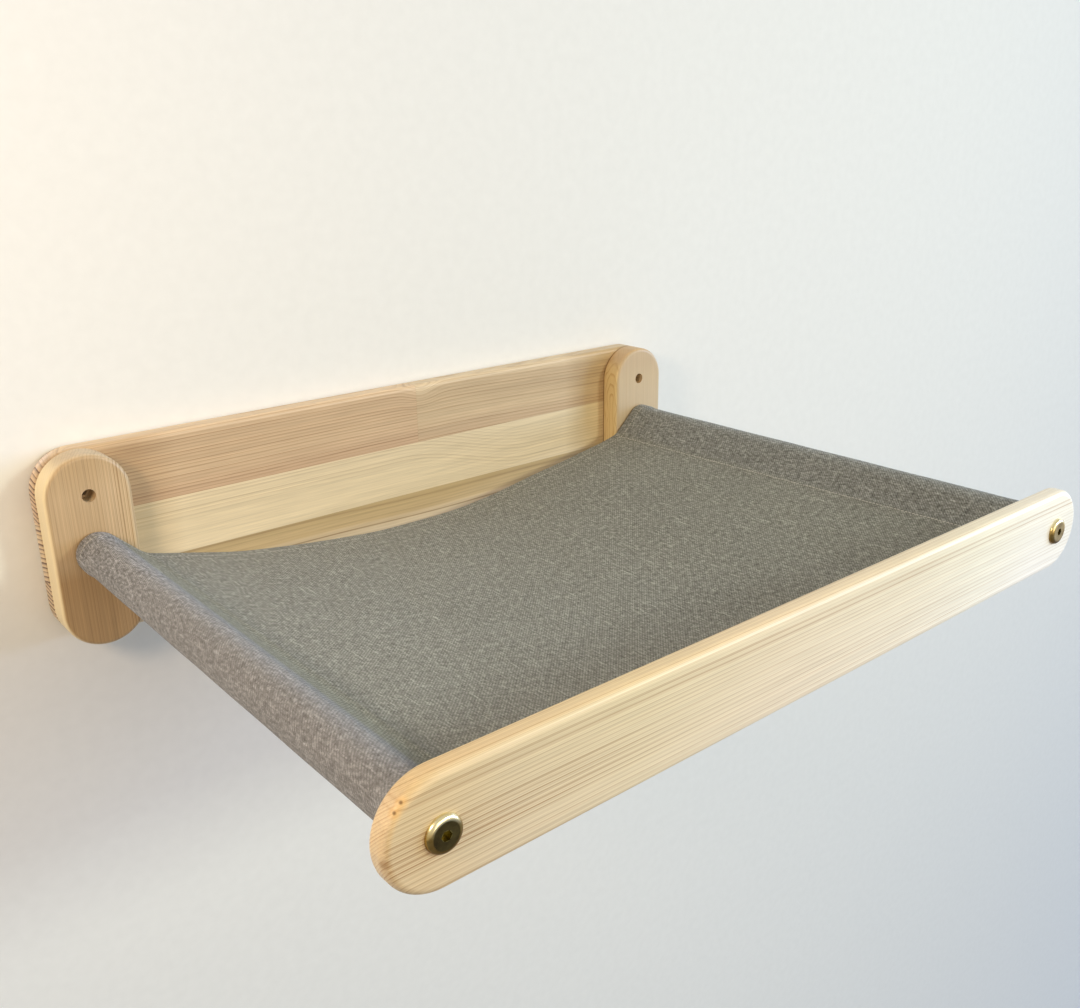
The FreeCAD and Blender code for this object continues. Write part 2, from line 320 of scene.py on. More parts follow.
# Each lamp's place, target, size, power and colour.
LAMPS = {
    "far_window": ((9.0, -4.7, 1.5), (0.0, -0.2, 0.0), (3.0, 4.4), 572, (0.47, 0.66, 1.0)),
    "front_lamp": ((1.2, -2.2, 0.9), (0.0, 0.0, 0.0), (0.36, 0.36), 18, (0.93, 1.0, 0.86)),
    "wide_front_lamp": ((0.1, -2.4, 0.5), (0.0, -0.3, 0.0), (1.4, 1.4), 15, (1.0, 0.87, 0.70)),
    "left_lamp": ((-0.9, -0.55, 0.5), (0.0, -0.05, 0.05), (0.22, 0.22), 3.2, (1.0, 0.74, 0.49)),
    "lamp_behind": ((-0.9, 1.5, 1.0), (0.0, 0.0, 0.0), (1.0, 1.0), 14, (1.0, 0.98, 0.95)),
}
lamps = {name: soft_lamp(name, *facts) for name, facts in LAMPS.items()}
lamps["left_lamp"].data.spread = math.radians(150)

SKY_LIGHT, SKY_SEEN = 0.32, 0.80
world = bpy.data.worlds.new("sky")
bpy.context.scene.world = world
world.use_nodes = True
nodes, links = world.node_tree.nodes, world.node_tree.links
sky = nodes["Background"]
sky.inputs["Color"].default_value = (1.0, 0.913, 0.78, 1)
path = nodes.new("ShaderNodeLightPath")
seen = path.outputs["Is Camera Ray"]
for ray in ("Is Glossy Ray", "Is Transmission Ray"):
    either = nodes.new("ShaderNodeMath")
    either.operation = "MAXIMUM"
    links.new(seen, either.inputs[0])
    links.new(path.outputs[ray], either.inputs[1])
    seen = either.outputs[0]
strength = nodes.new("ShaderNodeMapRange")
links.new(seen, strength.inputs["Value"])
strength.inputs["To Min"].default_value = SKY_LIGHT
strength.inputs["To Max"].default_value = SKY_SEEN
links.new(strength.outputs[0], sky.inputs["Strength"])
bpy.context.scene.view_settings.view_transform = "Standard"
print("lamps:", list(lamps))


# %% [markdown]
# ## Pine
#
# A plank is cut from a trunk, so its grain isn't a picture on a face: it is where the growth rings
# meet the cut. The finish works the same way. For each point of the wood it finds the distance from
# the middle of an imagined trunk, which gives the ring and the place within it. Pale early wood turns
# slowly into a thin late line and stops short. Faces along the grain then show lines, and the ends show
# the same rings across the thickness, with nothing to line up.

# %% The shape of the rings
class Plank(Finish):
    """Wood whose rings are cylinders about a trunk's middle, with the fibres along one axis."""

    def __init__(self, name, grain, heart, sway):
        """grain is the axis along the fibres, 0 to 2, and heart the middle's place on the two cross axes.

        The cross axes are the height or the width first, and then the depth. The rings' height is the
        place on the first one, shifted by slow noise that is as strong as sway.
        """
        super().__init__(name, Roughness=0.42, Specular_IOR_Level=0.5)
        self.spot = self.place()
        across_axis, depth_axis = {0: (2, 1), 1: (0, 2), 2: (0, 1)}[grain]
        self.along, self.across, self.depth = self.spot[grain], self.spot[across_axis], self.spot[depth_axis]
        self.heart = heart
        self.cut = self.ease(self.facing(grain), 0.45, 0.9)
        slow = self.noise(self.vector(self.along * 2.6, self.across * 9, self.depth * 9), detail=1)
        fine = self.noise(self.vector(self.along * 9, self.across * 55, self.depth * 55), detail=1)
        self.height = self.across + (slow - 0.5) * (sway * 4) + (fine - 0.5) * (sway * 0.9)

    def descend(self, start, end, drop):
        """Lets the rings sink by a smooth step between two places along the plank."""
        self.height = self.height + self.ease(self.along, start, end) * drop

    def swirl(self, along, across, reach_along, reach_across, lift):
        """Lifts the rings under a bell over both lengths, as round a knot."""
        self.height = self.height + self.bell(along, across, reach_along, reach_across) * lift

    def bell(self, along, across, reach_along, reach_across):
        """e to the power of minus the sum of the squares of both distances over their reaches."""
        span = (self.along - along) / reach_along
        rise = (self.across - across) / reach_across
        return (-(span * span + rise * rise)).math("EXPONENT")

    def rings(self, ring, uneven=0.8, finer=0.0):
        """Late wood, from 0 to 1: rises slowly within each ring and stops short. Some rings are bolder."""
        high = self.height - self.heart[0]
        deep = self.depth - self.heart[1]
        distance = (high * high + deep * deep).math("SQRT")
        drift = self.noise(self.vector(0.0, distance * 90, 3.0), detail=1)
        count = distance / ring + drift * uneven
        within = [(0.0, 0.0), (0.42, 0.08), (0.72, 0.42), (0.88, 1.0), (0.95, 0.8), (1.0, 0.0)]
        number = {"W": count.math("FLOOR")}
        boldness = self.add("ShaderNodeTexWhiteNoise", {"noise_dimensions": "1D"}, number, 0)
        late = self.ramp(count.math("FRACT"), within) * (boldness * 0.7 + 0.3)
        if finer:
            twice = (count * 2.3 + 0.4).math("FRACT")
            late = late + self.ramp(twice, [(0.0, 0.0), (0.5, 0.1), (0.85, 1.0), (1.0, 0.0)]) * finer
        return late

    def stripe(self, height, half_width, strength):
        """One line at a height of the rings, soft at both sides."""
        return ((self.height - height) / half_width).peak() * strength

    def banded(self, stops, over=None):
        """A number or colour for each height of the rings, or for each place over another measure."""
        over = self.height if over is None else over
        low, span = stops[0][0], stops[-1][0] - stops[0][0]
        values = [paint(value) if isinstance(value, str) else value for _, value in stops]
        shares = [(at - low) / span for at, _ in stops]
        return self.ramp((over - low) / span, list(zip(shares, values)))


# %% The colour of the wood
def colour_wood(plank, pale, dark, line, end_pale, end_dark, end_line, tone=None, grit=1.0):
    """Lays the lines over the pale wood, with fibres and slow patches, and gives the ends their own tones.

    tone is a tint for the faces along the grain, and grit is how strong the fibres are.
    """
    along, across, depth = plank.along, plank.across, plank.depth
    fibre = plank.noise(plank.vector(along * 30, across * 1300, depth * 1300))
    streak = plank.noise(plank.vector(along * 5, across * 300, depth * 300))
    cloud = plank.noise(plank.vector(along * 3, across * 22, depth * 22), detail=1)
    broken = plank.noise(plank.vector(along * 16, across * 400, depth * 400))
    share = (line * (broken * 0.9 + 0.55)).math("MINIMUM", 1.0)
    colour = plank.mix(share, paint(pale), paint(dark))
    if tone is not None:
        colour = plank.tinted(colour, tone)
    end = plank.mix(end_line.math("MINIMUM", 1.0), paint(end_pale), paint(end_dark))
    colour = plank.mix(plank.cut, colour, end)
    fibres = (streak - 0.5) * (0.24 * grit) + (fibre - 0.5) * (0.26 * grit)
    colour = plank.scaled(colour, (cloud - 0.5) * 0.12 + fibres + 1.0)
    plank.drive(Roughness=(fibre - 0.5) * 0.16 + 0.43)
    plank.drive(Normal=plank.bump(share * 0.5 + fibre * 0.8 + plank.cut * fibre, 0.00010, 0.5))
    return colour


# %% [markdown]
# ### The back board
#
# The board is glued from three staves of different planks. The top one is pinkish with close, even
# lines, and is itself spliced from two lengths with a curl where they meet. The middle one is pale and
# calm, with lines that sink towards the right. The bottom one is a little darker, with one sharp line.
# The top and middle staves carry painted shade beside both uprights, and the top one's upper edge a
# painted highlight.

# %% Finish of the top stave
def saw_ticks(plank):
    """The close, dark rings on a stave's sawn end, bold at the left and softer at the right."""
    return plank.rings(0.0037, uneven=0.4) * plank.ease(plank.along, 0.0, 0.1, 2.4, 0.9)


def painted_upright_shade(plank, wood):
    """Painted shade: the board's face is browner within a few centimetres of both uprights, where they shade
    it.
    """
    stops = [(-0.250, "E7E1D7"), (-0.235, "E9E3DA"), (-0.205, "FFFFFF"), (0.195, "FFFFFF")]
    stops = stops + [(0.212, "F0ECE5"), (0.228, "EBE3D3"), (0.250, "E9E0CC")]
    # Painted shade, deepest right beside each upright.
    tint = plank.banded(stops, over=plank.along)
    return plank.tinted(wood, tint, plank.ease(plank.depth, -0.017, -0.012, 1.0, 0.0))


top = Plank("top_stave_pine", 0, (-0.30, 0.03), 0.0010)
splice = 0.0185
beyond = top.along.math("GREATER_THAN", splice)
top.swirl(splice + 0.006, 0.066, 0.016, 0.012, 0.006)
top.descend(splice + 0.02, splice + 0.25, 0.006)
first_length = top.rings(0.0026, uneven=0.5, finer=0.3) * 0.84
second_length = top.rings(0.0031, uneven=0.7, finer=0.4) * 0.62
lines = first_length * (1 - beyond) + second_length * beyond
lines = lines + ((top.along - splice) / 0.0004).peak() * 0.10
# Tints by height of the rings: pinkish tones over the face, and an untinted top edge that stands lighter as
# a painted highlight.
pink_tones_and_edge_highlight = [(0.020, "E6DCDA"), (0.042, "F1EDE9"), (0.058, "E5E0DB"), (0.070, "EAE6E2"), (0.0745, "FFFFFF")]
ends = ("E9CDA8", "5C3A26", saw_ticks(top))
wood = colour_wood(top, "E8D2B0", "AC8A62", lines, *ends, tone=top.banded(pink_tones_and_edge_highlight), grit=1.4)
lengths = top.mix(beyond, paint("FCF8F6"), paint("F9FAF8"))
# The top stave gets painted shade beside the uprights.
top.drive(Base_Color=painted_upright_shade(top, top.tinted(wood, lengths)))
dress(top, "top_stave")

# %% Finish of the middle and bottom staves
middle = Plank("middle_stave_pine", 0, (-0.22, -0.06), 0.0013)
middle.descend(0.0, 0.15, 0.027)
where = [(-0.030, 0.05), (0.000, 0.14), (0.009, 0.48), (0.024, 0.72), (0.030, 0.45), (0.050, 0.20)]
lines = middle.rings(0.0030, uneven=1.0, finer=0.2) * middle.banded(where) * 0.85
wood = colour_wood(middle, "E5D4B1", "AC8F68", lines, "EBD2AC", "62402A", saw_ticks(middle), grit=1.4)
# The middle stave gets painted shade beside the uprights.
middle.drive(Base_Color=painted_upright_shade(middle, wood))
dress(middle, "middle_stave")

bottom = Plank("bottom_stave_pine", 0, (-0.36, 0.02), 0.0012)
bottom.descend(-0.12, 0.05, 0.003)
lines = bottom.rings(0.0060, uneven=0.9, finer=0.3) * 0.26
lines = lines + bottom.stripe(-0.0430, 0.0006, 0.75) + bottom.stripe(-0.0256, 0.0010, 0.35)
bands = [(-0.075, "FFFFFF"), (-0.050, "FFFFFF"), (-0.0405, "FCF8F0"), (-0.038, "F0E8D2"), (-0.026, "E8E0C8")]
ends = ("E9CEA8", "62402A", saw_ticks(bottom))
wood = colour_wood(bottom, "D8C5A4", "866A44", lines, *ends, tone=bottom.banded(bands), grit=1.3)
bottom.drive(Base_Color=wood)
dress(bottom, "bottom_stave")


# %% [markdown]
# ### The uprights
#
# Each upright is a short block with the grain standing up. The left one is plain at its outer side and
# has bolder stripes towards the sling. It carries painted light: a cream highlight on its outer side and
# rounded edges, and a shadow below the sleeve. The right one is paler, and the side that it turns to the
# sling is cut flat to the rings, so it shows a tall arch of orange. A dark line of painted contact shadow
# lies where it meets the board.

# %% Finish of the uprights
left = Plank("left_upright_pine", 2, (-0.345, 0.002), 0.0008)
where = left.banded([(-0.312, 0.36), (-0.272, 0.50), (-0.263, 1.00), (-0.249, 1.10)])
lines = left.rings(0.0022, uneven=0.6, finer=0.40) * where
# Tints across the face: its middle a little darker, both rounded edges lighter as painted rim highlights.
sides = [(-0.3145, "FFFFFF"), (-0.309, "E7E2DE"), (-0.276, "E9E5E2"), (-0.262, "FBFBFF"), (-0.249, "FFFFFF")]
# Painted shadow: below the sleeve the upright is darker and warmer, where the sleeve and the cloth shade it;
# a little darker near its top.
levels = [(-0.075, "EEE3D0"), (-0.018, "EEE3D0"), (-0.005, "FFFFFF"), (0.045, "FFFFFF")]
levels = levels + [(0.066, "F6F3EC"), (0.075, "F6F3EC")]
tone = left.tinted(left.banded(sides), left.banded(levels, over=left.along))
wood = colour_wood(left, "DAC19A", "9A7648", lines, "D4C1A2", "A2845A", lines * 0.8, tone=tone, grit=1.3)
# Painted highlight: the outer side is turned cream, strongest where it faces straight out.
outer = left.ease(left.facing(0), 0.30, 0.85) * left.banded([(-0.300, 1.0), (-0.280, 0.0)])
painted_side_highlight = left.mix(lines * 0.55, paint("FFEFC6"), paint("D2AC70"))
left.drive(Base_Color=left.mix(outer * 0.90, wood, painted_side_highlight))
dress(left, "left_upright")

right = Plank("right_upright_pine", 2, (0.236, 0.004), 0.0012)
turned = right.ease(right.facing(0), 0.5, 0.85) * right.banded([(0.249, 1.0), (0.262, 0.0)])
rise = (right.along - 0.022).math("MAXIMUM", 0.0)
waver = right.noise(right.vector(right.along * 45, right.depth * 160, 0.0), detail=1)
aside = right.depth + 0.030 + (waver - 0.5) * 0.007
arch = (aside * aside * 8.0 + rise * rise * 0.75).math("SQRT")
arch_lines = right.ramp((arch / 0.009).math("FRACT"), [(0.0, 0.0), (0.6, 0.05), (0.88, 1.0), (1.0, 0.0)])
lines = right.rings(0.0026, uneven=1.2, finer=0.3) * 0.14 * (1 - turned) + arch_lines * turned * 0.50
sides = right.mix(turned, paint("DFDFEC"), paint("FFFFF4"))
levels = [(0.030, "FFFFFC"), (0.045, "FEFDF6"), (0.06225, "F8F4ED"), (0.075, "F8F4ED")]
tone = right.tinted(sides, right.banded(levels, over=right.along))
wood = colour_wood(right, "EBD3A5", "BC8C52", lines, "D2B284", "A0774A", lines, tone=tone, grit=0.55)
# Painted contact shadow: a thin dark line where the inner side meets the board.
shade_line = ((right.depth + 0.0184) / 0.0008).peak() * 0.9
right.drive(Base_Color=right.mix(shade_line, wood, paint("7A5226")))
dress(right, "right_upright")


# %% [markdown]
# ### The front rail
#
# The rail takes the eye: fine, uneven lines along its whole length, fainter at the right, two bolder
# ones near its top edge and browner ones at the lower left. Its left end is cut across the grain all
# round, so the rings turn into close peach stripes there. Two pin knots sit above the bolt, small balls
# of dark wood, and a brown smudge marks the left edge. Its face carries painted light, darker at the
# left end and paler towards the right, where the window's light glances off it.

# %% Finish of the rail and the rods
PIN_KNOTS = ((-0.2992, -0.4800, 0.0234), (-0.3028, -0.4801, 0.0198))
SMUDGE = (-0.3092, -0.4800, -0.0030)
rail = Plank("rail_pine", 0, (-0.12, -0.60), 0.0008)
rail.descend(-0.30, 0.10, 0.002)
lines = rail.rings(0.0019, uneven=1.6, finer=0.45) * 0.54
brown = rail.banded([(-0.014, 0.0), (-0.010, 1.0), (0.004, 1.0), (0.008, 0.0)])
brown = brown * (1 - rail.ease(rail.along, -0.24, -0.10))
faint = rail.ease(rail.along, 0.12, 0.26)
lines = lines * (brown * 0.8 - faint * 0.38 + 1.0)
bold = rail.stripe(0.0205, 0.0005, 0.60) + rail.stripe(0.0236, 0.0006, 0.42)
lines = lines + bold * rail.ease(rail.along, -0.28, -0.10, 0.85, 1.0)
bands = rail.banded([(-0.031, "F6E8CE"), (-0.026, "FFFFFF"), (0.0302, "FFFFF6"), (0.031, "FEF8E8")])
ends = rail.rings(0.0014, uneven=0.9) * 0.80
wood = colour_wood(rail, "FEFDFB", "B89A7E", lines, "F8ECD0", "BE8C5C", ends, tone=bands, grit=0.9)
# Painted light: the rail's face is tinted darker at its left end and paler towards its right end, where the
# window's light glances off it.
light_along_rail_stops = [(-0.29, "E2CCA6"), (-0.242, "E3D3B5"), (-0.161, "EBDEC0"), (-0.043, "F5E9D4"), (0.081, "F9F2E2")]
light_along_rail_stops = light_along_rail_stops + [(0.174, "FEFDF4"), (0.248, "FFFFFF"), (0.31, "FFFFFF")]
painted_light_along_rail = rail.banded(light_along_rail_stops, over=rail.along)
wood = rail.tinted(wood, rail.mix(rail.cut * 0.5, painted_light_along_rail, paint("FFFFFF")))


def apart(plank, centre):
    """Distance from a point inside the wood."""
    off = [here - there for here, there in zip(plank.spot, centre)]
    return (off[0] * off[0] + off[1] * off[1] + off[2] * off[2]).math("SQRT")


for centre in PIN_KNOTS:
    distance = apart(rail, centre)
    wood = rail.mix((1 - rail.ease(distance, 0.0010, 0.0042)) * 0.50, wood, paint("EDC27C"))
    wood = rail.mix((1 - rail.ease(distance, 0.0003, 0.0013)) * 0.88, wood, paint("70501C"))
smudge = 1 - rail.ease(apart(rail, SMUDGE), 0.0005, 0.0038)
rail.drive(Base_Color=rail.mix(smudge * 0.55, wood, paint("8E6230")))
dress(rail, "front_rail")

rod = Plank("rod_pine", 1, (0.0, -0.05), 0.0010)
lines = rod.rings(0.003) * 0.5
rod.drive(Base_Color=colour_wood(rod, "E2CB9F", "B08A58", lines, "E0C596", "A27A4A", lines))
dress(rod, "left_rod", "right_rod")


# %% [markdown]
# ## Metal
#
# The connector bolts are steel with a yellow plating. The plating is thin, so its tone drifts, and fine
# turning marks ring the head. Light is painted on each head: a reflection on the flat face, dark and olive
# on the left bolt and pale on the right, a highlight on the upper half of the round shoulder, shade on its
# lower half, and a golden glint in the hex pocket. Marks and face are circles about the bolt, worked out
# from its axis.

# %% Finish of the bolts, inserts and screws
FACE_RADIUS = 7.2 * MM
POCKET_RADIUS = 2.6 * MM
MARK_PITCH = 0.45 * MM


def plated(name, first, second, roughness, axis_x=None, face=None):
    """Metal that drifts between two tones. With an axis, turning marks ring it, and light is painted on it:

    a reflection on the face in the face's own tones, a highlight above, shade below and a glint in the
    pocket.
    """
    metal = Finish(name, Metallic=1.0)
    x, y, z = metal.place()
    drift = metal.noise(metal.vector(x * 160, y * 160, z * 160), detail=3)
    grit = metal.noise(metal.vector(x * 1600, y * 1600, z * 1600))
    colour = metal.ramp(drift, [(0.35, paint(first)), (0.68, paint(second))])
    height = grit
    if axis_x is not None:
        aside = x - axis_x
        radius = (aside * aside + z * z).math("SQRT")
        height = height + (radius * (2 * math.pi / MARK_PITCH)).math("SINE") * 0.5
        on_face = 1 - metal.ease(radius, FACE_RADIUS - 0.4 * MM, FACE_RADIUS + 0.5 * MM)
        in_pocket = 1 - metal.ease(radius, POCKET_RADIUS, POCKET_RADIUS + 0.4 * MM)
        # Painted reflection: the flat face takes the tones of what it would mirror.
        painted_face_reflection = metal.ramp(drift, [(0.3, paint(face[0])), (0.7, paint(face[1]))])
        # Painted shade darkens the lower half of the shoulder.
        low = 1 - metal.ease(z, -7.5 * MM, 2.0 * MM)
        colour = metal.mix(low * 0.80, colour, paint("6E5024"))
        # Painted highlight lightens the upper half of the head.
        colour = metal.mix(metal.ease(z, 1.5 * MM, 8.0 * MM) * 0.75, colour, paint("F0ECC8"))
        # The face gets its painted reflection, and the hex pocket a painted golden glint.
        colour = metal.mix(on_face, colour, metal.mix(in_pocket * 0.6, painted_face_reflection, paint("B0A45C")))
    metal.drive(Base_Color=colour)
    metal.drive(Roughness=roughness + (drift - 0.5) * 0.16 + (grit - 0.5) * 0.1)
    metal.drive(Normal=metal.bump(height, 0.00001, 0.35))
    return metal


# Each bolt's face tones are a painted reflection: dark on the left bolt, pale on the right one.
for side, axis_x, face in (("left", -ROD_X, ("75683F", "4C4026")), ("right", ROD_X, ("BDB08A", "8E7E58"))):
    plating = plated(side + "_bolt_plating", "C0A96C", "94763E", 0.24, axis_x, face)
    dress(plating, side + "_front_bolt", side + "_rear_bolt")
insert_metal = plated("insert_brass", "C9A961", "A98A4A", 0.35)
dress(insert_metal, "left_rear_insert", "left_front_insert", "right_rear_insert", "right_front_insert")
screw_metal = plated("screw_zinc", "B9BAB7", "94958F", 0.32)
dress(screw_metal, "left_upper_screw", "left_lower_screw", "right_upper_screw", "right_lower_screw")


# %% [markdown]
# ## The cloth
#
# The sling is one cut of cloth. Each side is folded round its rod and sewn back to itself, and both
# ends are folded under and hemmed. Between the seams it sags in one shallow curve. A cloth simulation
# could find that curve, but the pull of the rods makes it a plain arc, so it is worked out directly:
# every line of the cloth is straight, or an arc whose radius is known.
#
# Seen from the front, the path starts under the panel, runs out to the left seam, goes round the left
# rod, comes back to the seam, crosses the panel, and does the same at the right. The grid's columns
# follow this path and its rows follow the depth.

# %% The cloth's sizes
CLOTH = 0.9 * MM
LAYER = 1.05 * MM
ALLOWANCE = 12 * MM
HEM = 12 * MM
SAG = 44 * MM
SEAM = 34.5 * MM
PANEL_RADIUS = (ROD_X ** 2 + SAG ** 2 - SEAM ** 2) / (2 * SAG)
PANEL_HEIGHT = PANEL_RADIUS - SAG
SLOPE = math.atan2(ROD_X, PANEL_HEIGHT) - math.atan2(SEAM, PANEL_RADIUS)
PANEL_ARC = 2 * PANEL_RADIUS * SLOPE
print(f"panel arc {PANEL_ARC:.3f}, radius {PANEL_RADIUS:.3f}, seams at {math.degrees(SLOPE):.1f} degrees")


# %% [markdown]
# Real cloth isn't ruled. The right seam was sewn a little askew and comes nearer to its rod at the
# front. The back hem pulls the panel up a few millimetres at the right. The hems are two layers thick,
# so the sleeves swell at both ends. These are written as small functions of the depth.

# %% How the cloth departs from the plain shape
def depth_share(y):
    """0 at the back hem and 1 at the front one."""
    return (BACK_EDGE - y) / (BACK_EDGE - FRONT_EDGE)


def near_hem(y):
    """1 on the folded hems, falling smoothly to 0 a few millimetres beyond them."""
    inside = np.minimum(BACK_EDGE - y, y - FRONT_EDGE)
    share = np.clip((HEM + 5 * MM - inside) / (5 * MM), 0, 1)
    return share * share * (3 - 2 * share)


def seam_distance(side, y):
    """Distance from the rod's axis to the seam: steady at the left, drawn in to the front at the right."""
    drawn = 0.0 * y if side < 0 else 12 * MM * depth_share(y) ** 1.2 + 0.6 * MM
    return SEAM - drawn


def sleeve_radius(y):
    """Radius of the sleeve's middle layer: close on the rod, larger where the hem lies inside it."""
    return ROD_RADIUS + 0.85 * MM + 0.95 * MM * near_hem(y)


def settle(x, y):
    """How far the panel lies above its plain arc: a lift at the right of the back hem, and faint swells."""
    share = depth_share(y)
    lift = 4.2 * MM * np.exp(-((x - 0.15) / 0.065) ** 2) * (1 - share)
    taut = 2.7 * MM * np.clip(share * 4 - 3, 0, 1)
    dip = -1.6 * MM * np.sin(np.pi * np.clip(share, 0, 1)) * np.cos(np.pi * x / 0.5) ** 2
    swell = 0.35 * MM * np.sin(x * 47 + y * 13 + 0.6) * np.sin(y * 31 - x * 9 + 1.1)
    swell = swell + 0.22 * MM * np.sin(x * 21 - y * 58) * np.sin(y * 17 + x * 71 + 2.0)
    return lift + taut + dip + swell * np.clip((1 - share) * 8, 0.15, 1)


# %% [markdown]
# The panel is an arc that runs on as a short straight line where a seam lies nearer to its rod than
# the arc's end. The sleeve is a teardrop: a straight side that touches the rod, the way round it, and a
# straight side back. Both work on whole arrays, one row for each depth.

# %% The panel and the sleeves as formulas
def panel_point(share, y):
    """Place on the panel: share runs from 0 at the left seam to 1 at the right one, y is the depth."""
    left_run = SEAM - seam_distance(-1, y)
    right_run = SEAM - seam_distance(1, y)
    length = share * (PANEL_ARC + left_run + right_run) - left_run
    on_arc = np.clip(length, 0, PANEL_ARC)
    beyond = length - on_arc
    angle = on_arc / PANEL_RADIUS - SLOPE
    x = PANEL_RADIUS * np.sin(angle) + beyond * np.cos(SLOPE)
    z = PANEL_HEIGHT - PANEL_RADIUS * np.cos(angle) + np.abs(beyond) * np.sin(SLOPE)
    fade = np.clip(np.minimum(share, 1 - share) / 0.10, 0, 1)
    fade = fade * fade * (3 - 2 * fade)
    return x, z + settle(x, y) * fade


def sleeve_path(side, y, straight, round_steps):
    """The teardrop from the seam over the rod and back, for a column of depths.

    Along the line from the rod's axis to the seam, a side touches the rod at the angle whose sine is the
    radius over the seam's distance. The way round is the rest of the circle, a little loose at its far side.
    """
    reach = seam_distance(side, y)
    radius = sleeve_radius(y)
    lean = np.arcsin(radius / reach)
    share = np.linspace(0, 1, straight, endpoint=False)[None, :]
    touch = np.stack([radius * np.sin(lean), radius * np.cos(lean)], -1)
    seam_top = np.stack([reach, 0 * reach], -1)
    seam_under = np.stack([reach, 0 * reach - LAYER * (1 + near_hem(y))], -1)
    first = seam_top[:, None] * (1 - share[..., None]) + touch[:, None] * share[..., None]
    turn_share = np.linspace(0, 1, round_steps, endpoint=False)[None, :]
    start = (np.pi / 2 - lean)[:, None]
    angle = start + (2 * np.pi - 2 * start) * turn_share
    loose = 1 + 0.012 * np.sin(angle * 3 + y[:, None] * 37) ** 2 * np.sin(angle / 2) ** 2
    wide = radius[:, None] * loose
    around = np.stack([wide * np.cos(angle), wide * np.sin(angle)], -1)
    low_touch = touch * [1, -1]
    back = low_touch[:, None] * (1 - share[..., None]) + seam_under[:, None] * share[..., None]
    inward = np.linspace(0, ALLOWANCE, 5)[None, :]
    flap = seam_under[:, None] + np.stack([inward, 0 * inward], -1)
    local = np.concatenate([first, around, back, flap], 1)
    x = side * (ROD_X - local[..., 0] * np.cos(SLOPE) - local[..., 1] * np.sin(SLOPE))
    z = -local[..., 0] * np.sin(SLOPE) + local[..., 1] * np.cos(SLOPE)
    return np.stack([x, z], -1)


# %% The whole section of the cloth
PANEL_STEPS = 124
STRAIGHT_STEPS = 9
ROUND_STEPS = 26


def cloth_section(y):
    """Points across the whole cloth for each depth, and the length along it from the panel's middle."""
    y = np.asarray(y, float)
    left = sleeve_path(-1, y, STRAIGHT_STEPS, ROUND_STEPS)[:, ::-1]
    right = sleeve_path(1, y, STRAIGHT_STEPS, ROUND_STEPS)
    share = np.linspace(0, 1, PANEL_STEPS + 1)[None, :]
    x, z = panel_point(share, y[:, None])
    points = np.concatenate([left[:, :-1], np.stack([x, z], -1), right[:, 1:]], 1)
    for _ in range(2):
        for corner in (left.shape[1] - 1, left.shape[1] - 1 + PANEL_STEPS):
            near = slice(corner - 1, corner + 2)
            before, after = slice(corner - 2, corner + 1), slice(corner, corner + 3)
            points[:, near] = points[:, near] * 0.5 + (points[:, before] + points[:, after]) * 0.25
    steps = np.linalg.norm(np.diff(points, axis=1), axis=2)
    length = np.concatenate([np.zeros((len(y), 1)), np.cumsum(steps, 1)], 1)
    middle = left.shape[1] - 1 + PANEL_STEPS // 2
    return points, length - length[:, middle:middle + 1]


def section_normals(points):
    """Unit vectors square to the path, upwards on the panel and outwards on the sleeves."""
    along = np.gradient(points, axis=1)
    across = np.stack([-along[..., 1], along[..., 0]], -1)
    return across / np.linalg.norm(across, axis=2, keepdims=True)


# %% [markdown]
# A hem is the end of the cloth folded to the wrong side. Its rows are a small profile: along the fold's
# underside, round its edge and up onto the top. The offset moves each row square to the cloth, so one
# profile hems the panel from below and the sleeves from inside.

# %% Weave the grid
def hem_profile():
    """Distance from the cloth's end and offset from its top layer, from the hidden edge to the top."""
    under = [(HEM * share, -LAYER) for share in (1.0, 0.8, 0.6, 0.4, 0.2, 0.08)]
    turn = np.linspace(-np.pi / 2, np.pi / 2, 7)
    fold = [(LAYER / 2 * (1 - math.cos(t)), LAYER / 2 * (math.sin(t) - 1)) for t in turn]
    above = [LAYER * 2, HEM * 0.33, HEM * 0.66, HEM, HEM + 2.5 * MM, HEM + 5 * MM]
    return np.array(under + fold + [(distance, 0) for distance in above])


profile = hem_profile()
middle_rows = np.linspace(BACK_EDGE - HEM - 9 * MM, FRONT_EDGE + HEM + 9 * MM, 84)
rows = np.concatenate([BACK_EDGE - profile[:, 0], middle_rows, FRONT_EDGE + profile[::-1, 0]])
offsets = np.concatenate([profile[:, 1], 0 * middle_rows, profile[::-1, 1]])
section, across = cloth_section(rows)
normals = section_normals(section)
section = section + normals * offsets[:, None, None]
grid = np.stack([section[..., 0], np.broadcast_to(rows[:, None], section.shape[:2]), section[..., 1]], -1)
steps = np.linalg.norm(np.diff(np.stack([rows, offsets], 1), axis=0), axis=1)
down = np.concatenate([[0], np.cumsum(steps)])
print("grid of", grid.shape[0], "by", grid.shape[1])


# %% Make the cloth
def grid_faces(high, wide):
    """Four corners for each cell of a grid, turned to face the way of its rows times its columns."""
    first = (np.arange(high - 1)[:, None] * wide + np.arange(wide - 1)[None, :]).ravel()
    return np.stack([first, first + wide, first + wide + 1, first + 1], 1)


